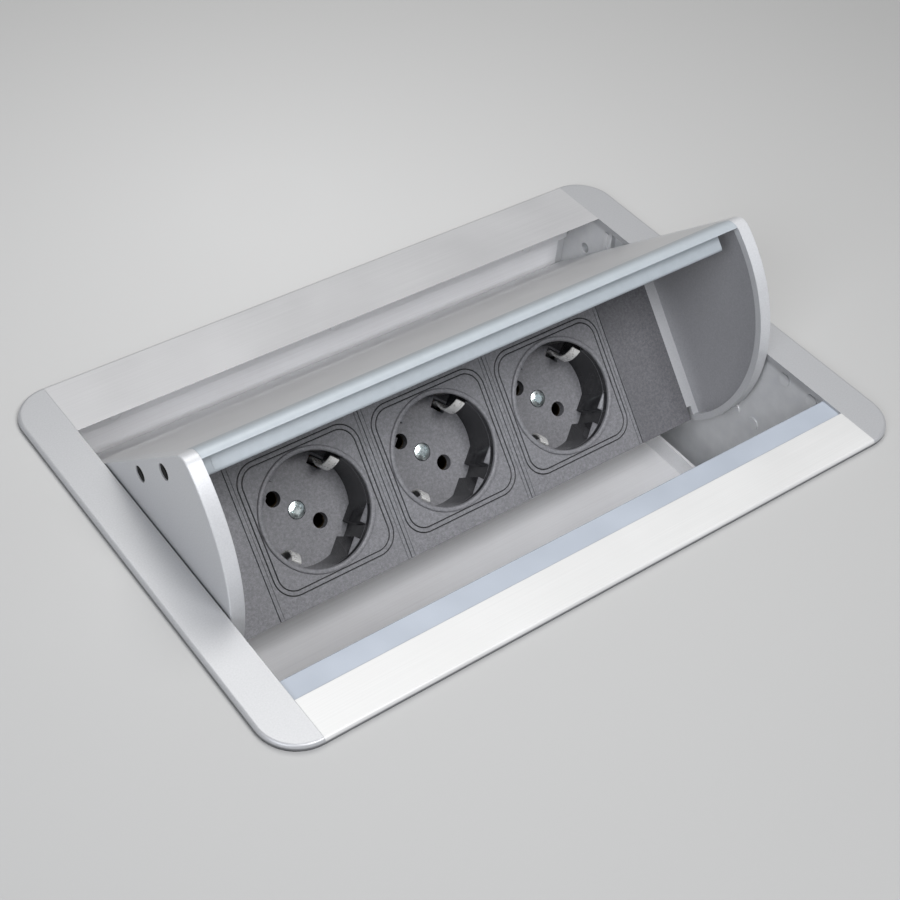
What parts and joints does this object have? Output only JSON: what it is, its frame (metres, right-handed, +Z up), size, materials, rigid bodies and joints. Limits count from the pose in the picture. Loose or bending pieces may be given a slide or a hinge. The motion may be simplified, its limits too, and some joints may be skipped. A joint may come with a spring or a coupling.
{
  "type": "multi socket unit",
  "caption": "Built-in desk power unit: a rectangular bezel and tub with a tilting carrier whose lid lifts to show a row of round earthed mains sockets.",
  "frame": {"origin": "middle of the bounding box in plan, at the underside of the tub", "axes": "+X along the unit from the left end cap to the right one, +Z up out of the desk, -Y towards the user"},
  "size_m": [0.25, 0.17, 0.1215],
  "materials": {
    "cast_silver": "die casting with satin silver paint",
    "rail_white": "pale satin anodised extrusion",
    "lid_anodised": "satin anodised extrusion",
    "tub_sheet": "plain mill-finish sheet",
    "lip_blue": "smooth grey-blue strip",
    "strip_plastic": "dark grey, finely textured",
    "socket_plastic": "dark grey, finely textured",
    "housing_plastic": "black moulding",
    "steel_pins": "turned steel",
    "screw_steel": "zinc-plated steel",
    "spring_steel": "drawn spring wire",
    "bush_plastic": "natural bearing plastic",
    "contact_brass": "bare brass",
    "clip_nickel": "nickel-plated spring strip",
    "rubber_black": "moulded rubber"
  },
  "bodies": {
    "frame": {"left_end_cap": "cast_silver", "right_end_cap": "cast_silver", "front_rail": "rail_white", "rear_rail": "rail_white", "front_lip_strip": "lip_blue", "trough": "tub_sheet", "rear_wall": "tub_sheet", "rail_screws": "screw_steel", "trough_screws": "screw_steel", "left_pivot_pin": "steel_pins", "right_pivot_pin": "steel_pins", "left_torsion_spring": "spring_steel", "right_torsion_spring": "spring_steel", "cord_grommet": "rubber_black", "cord_clamp_base": "housing_plastic", "cord_clamp_saddle": "housing_plastic", "clamp_screws": "screw_steel", "latch_body": "housing_plastic", "latch_screws": "screw_steel", "open_stops": "rubber_black", "closing_pads": "rubber_black"},
    "carrier": {"lid_panel": "lid_anodised", "left_cheek": "cast_silver", "right_cheek": "cast_silver", "cheek_screws": "screw_steel", "left_pivot_bush": "bush_plastic", "right_pivot_bush": "bush_plastic", "left_end_piece": "strip_plastic", "right_blank_piece": "strip_plastic", "rear_housing": "housing_plastic", "housing_screws": "screw_steel", "live_busbar": "contact_brass", "neutral_busbar": "contact_brass", "earth_busbar": "contact_brass", "terminal_block": "housing_plastic", "terminal_screws": "screw_steel", "housing_grommet": "rubber_black", "latch_striker": "steel_pins", "socket_plate_1": "strip_plastic", "socket_ring_1": "socket_plastic", "socket_base_1": "socket_plastic", "pin_contacts_1": "contact_brass", "earth_clip_1": "clip_nickel", "centre_screw_1": "screw_steel", "socket_plate_2": "strip_plastic", "socket_ring_2": "socket_plastic", "socket_base_2": "socket_plastic", "pin_contacts_2": "contact_brass", "earth_clip_2": "clip_nickel", "centre_screw_2": "screw_steel", "socket_plate_3": "strip_plastic", "socket_ring_3": "socket_plastic", "socket_base_3": "socket_plastic", "pin_contacts_3": "contact_brass", "earth_clip_3": "clip_nickel", "centre_screw_3": "screw_steel"},
    "plunger": {"latch_plunger": "housing_plastic"}
  },
  "joints": [
    {"name": "carrier_tilt", "type": "hinge", "parent": "frame", "child": "carrier", "pos_m": [0, 0.0274, 0.0382], "axis": [1, 0, 0], "range_deg": [0, 42], "stiffness_Nm_per_rad": 0.6, "springref_deg": -51.57},
    {"name": "latch_press", "type": "slide", "parent": "frame", "child": "plunger", "axis": [0, 1, 0], "range_m": [0, 0.003], "stiffness_N_per_m": 300, "springref_m": -0.001}
  ]
}
